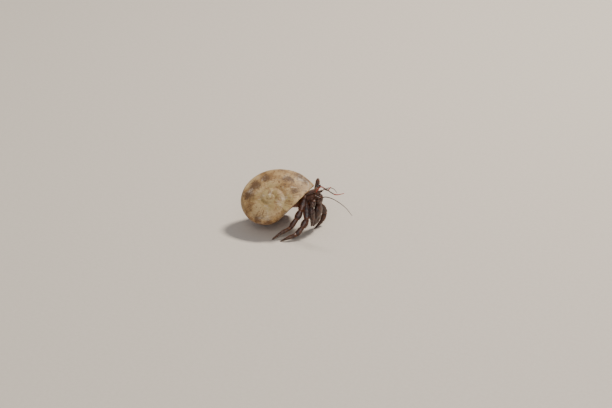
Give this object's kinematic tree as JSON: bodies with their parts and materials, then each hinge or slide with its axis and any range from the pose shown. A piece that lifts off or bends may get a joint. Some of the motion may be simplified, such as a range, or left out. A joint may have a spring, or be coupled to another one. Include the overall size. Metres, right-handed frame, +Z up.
{
  "type": "hermit crab",
  "caption": "Life-size land hermit crab walking with a worn, low-spired snail shell on its back, feelers out in front.",
  "frame": {"origin": "middle of the model's floor plan, on the floor", "axes": "+X the way the crab walks, +Y its left side, +Z up"},
  "size_m": [0.0538, 0.0292, 0.0233],
  "materials": {
    "soft": "soft",
    "antenna": "satin",
    "antennule": "satin",
    "body": "glossy",
    "claw": "glossy, pimpled",
    "eye": "wet black gloss",
    "eyestalk": "satin",
    "leg": "glossy, pimpled",
    "shell": "worn, chalky, satin"
  },
  "bodies": {
    "root": {"abdomen": "soft", "antenna_base_left": "antenna", "antenna_base_right": "antenna", "antenna_left": "antenna", "antenna_right": "antenna", "antennule_left": "antennule", "antennule_right": "antennule", "carapace": "body", "claw_left_carpus": "claw", "claw_left_finger": "claw", "claw_left_merus": "claw", "claw_left_palm": "claw", "claw_right_carpus": "claw", "claw_right_finger": "claw", "claw_right_merus": "claw", "claw_right_palm": "claw", "eye_left": "eye", "eye_right": "eye", "eyestalk_left": "eyestalk", "eyestalk_right": "eyestalk", "leg_2_left_carpus": "leg", "leg_2_left_dactyl": "leg", "leg_2_left_merus": "leg", "leg_2_left_propodus": "leg", "leg_2_right_carpus": "leg", "leg_2_right_dactyl": "leg", "leg_2_right_merus": "leg", "leg_2_right_propodus": "leg", "leg_3_left_carpus": "leg", "leg_3_left_dactyl": "leg", "leg_3_left_merus": "leg", "leg_3_left_propodus": "leg", "leg_3_right_carpus": "leg", "leg_3_right_dactyl": "leg", "leg_3_right_merus": "leg", "leg_3_right_propodus": "leg", "mouth_limb_left": "body", "mouth_limb_right": "body", "shell": "shell", "thorax": "body"}
  },
  "joints": []
}
